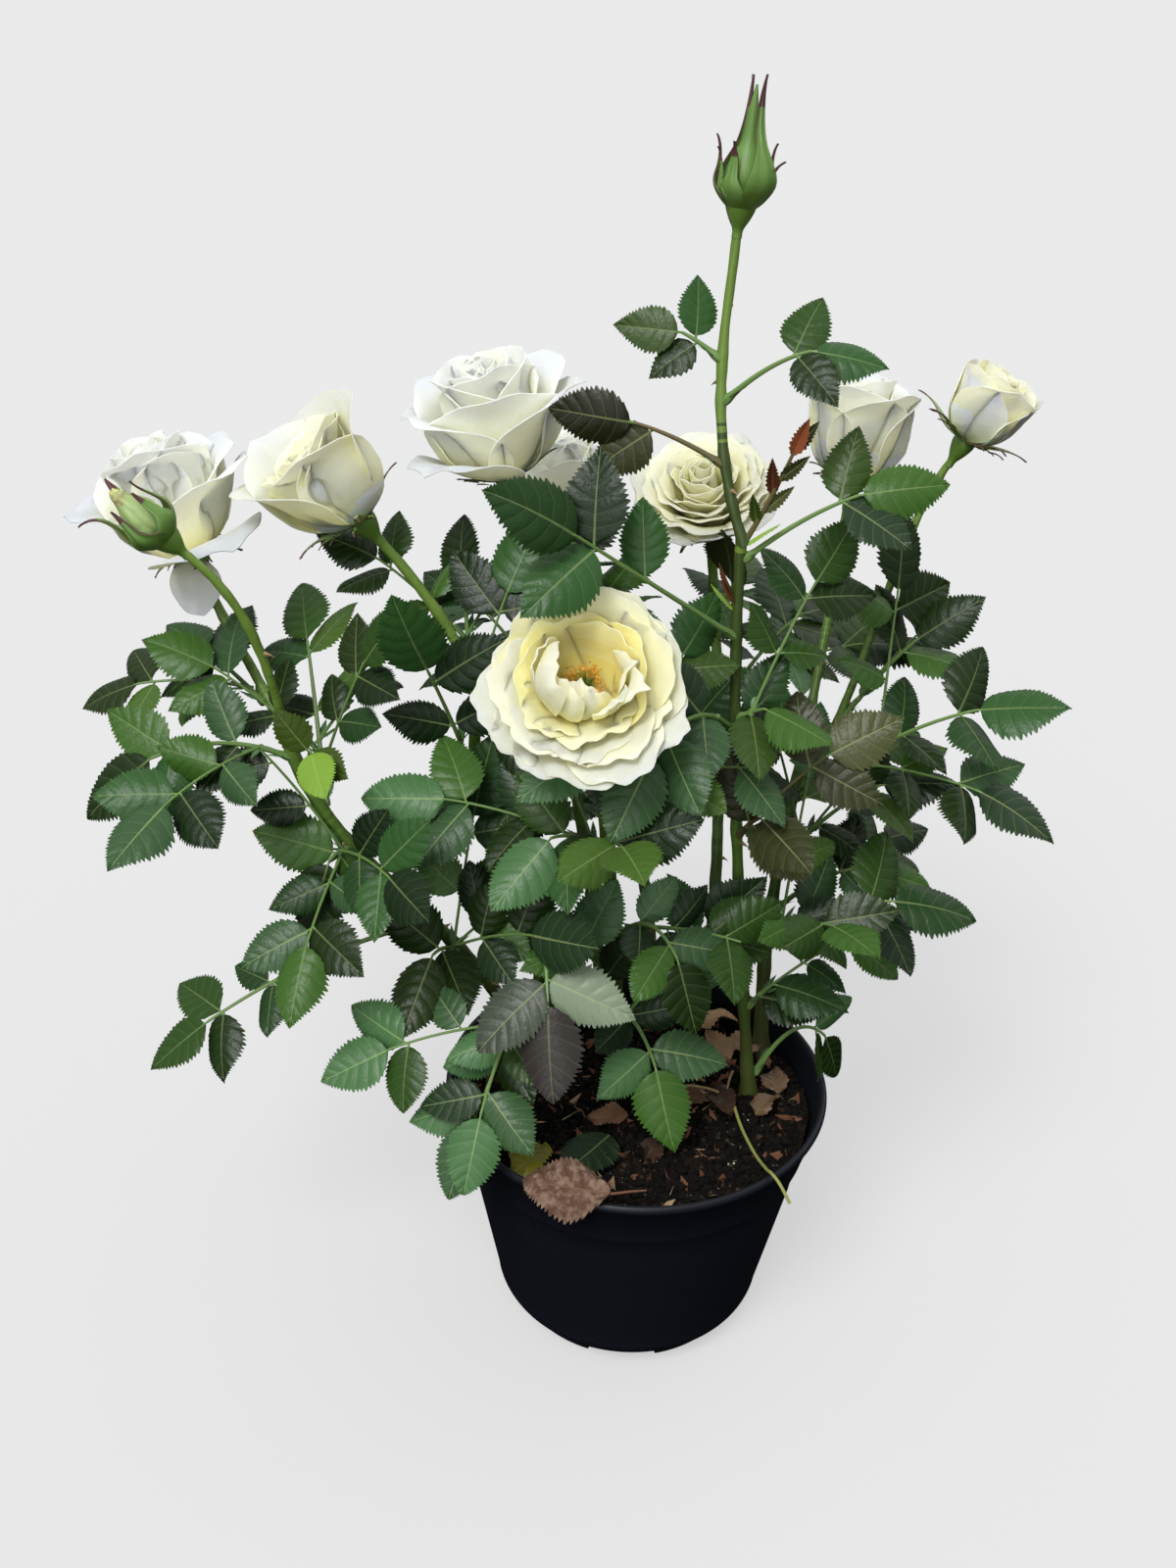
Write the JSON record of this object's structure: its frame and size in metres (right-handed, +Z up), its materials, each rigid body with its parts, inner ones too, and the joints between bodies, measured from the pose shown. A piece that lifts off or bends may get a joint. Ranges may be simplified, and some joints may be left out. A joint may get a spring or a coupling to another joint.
{
  "type": "potted rose bush",
  "caption": "Patio rose with cream-white blooms and dark green leaves on several canes, growing in a round black plastic pot that stands on its flat underside.",
  "frame": {"origin": "the middle of the pot's flat underside", "axes": "+Z up, -Y towards the fullest side of the bush, +X to the right as seen from that side"},
  "size_m": [0.3173, 0.2293, 0.4101],
  "materials": {
    "pot_plastic": "semi-matte black moulded plastic with a slightly glossier rolled rim",
    "potting_soil": "dark, crumbly peat soil with bark chips and pale specks",
    "green_stem": "smooth green bark, darker and browner towards the soil",
    "rose_leaf": "dark green, slightly glossy leaves with paler veins",
    "petal_cream": "soft, matte cream-white petals, yellower towards the heart",
    "bud_green": "soft green sepals round a closed bud"
  },
  "bodies": {
    "root": {"pot": "pot_plastic", "soil": "potting_soil", "tall_cane": "green_stem", "tall_shoot": "green_stem", "right_cane": "green_stem", "right_inner_stalk": "green_stem", "right_outer_stalk": "green_stem", "left_cane": "green_stem", "left_bud_stalk": "green_stem", "left_rose_stalk": "green_stem", "mid_left_cane": "green_stem", "mid_left_stalk": "green_stem", "back_left_cane": "green_stem", "back_cane": "green_stem", "back_right_cane": "green_stem", "front_cane": "green_stem", "front_left_cane": "green_stem", "left_rose": "petal_cream", "left_bud": "bud_green", "mid_left_rose": "petal_cream", "back_left_rose": "petal_cream", "back_rose": "petal_cream", "back_right_rose": "petal_cream", "open_rose": "petal_cream", "right_rose": "petal_cream", "right_small_rose": "petal_cream", "top_bud": "bud_green", "top_left_spray": "rose_leaf", "top_right_spray": "rose_leaf", "bronze_spray": "rose_leaf", "front_trio_spray": "rose_leaf", "right_upper_spray": "rose_leaf", "mottled_spray": "rose_leaf", "under_bloom_spray": "rose_leaf", "brown_spray": "rose_leaf", "right_near_spray": "rose_leaf", "right_high_spray": "rose_leaf", "right_far_spray": "rose_leaf", "right_mid_spray": "rose_leaf", "right_mid_low_spray": "rose_leaf", "right_low_spray": "rose_leaf", "right_low_inner_spray": "rose_leaf", "rim_right_spray": "rose_leaf", "left_far_spray": "rose_leaf", "left_back_spray": "rose_leaf", "left_young_spray": "rose_leaf", "left_inner_spray": "rose_leaf", "left_centre_spray": "rose_leaf", "left_top_spray": "rose_leaf", "left_hang_spray": "rose_leaf", "left_droop_spray": "rose_leaf", "left_low_spray": "rose_leaf", "rim_left_spray": "rose_leaf", "front_low_spray": "rose_leaf", "front_mid_spray": "rose_leaf", "centre_right_spray": "rose_leaf", "centre_dark_spray": "rose_leaf", "back_left_spray": "rose_leaf", "back_mid_spray": "rose_leaf", "back_right_spray": "rose_leaf"}
  },
  "joints": []
}
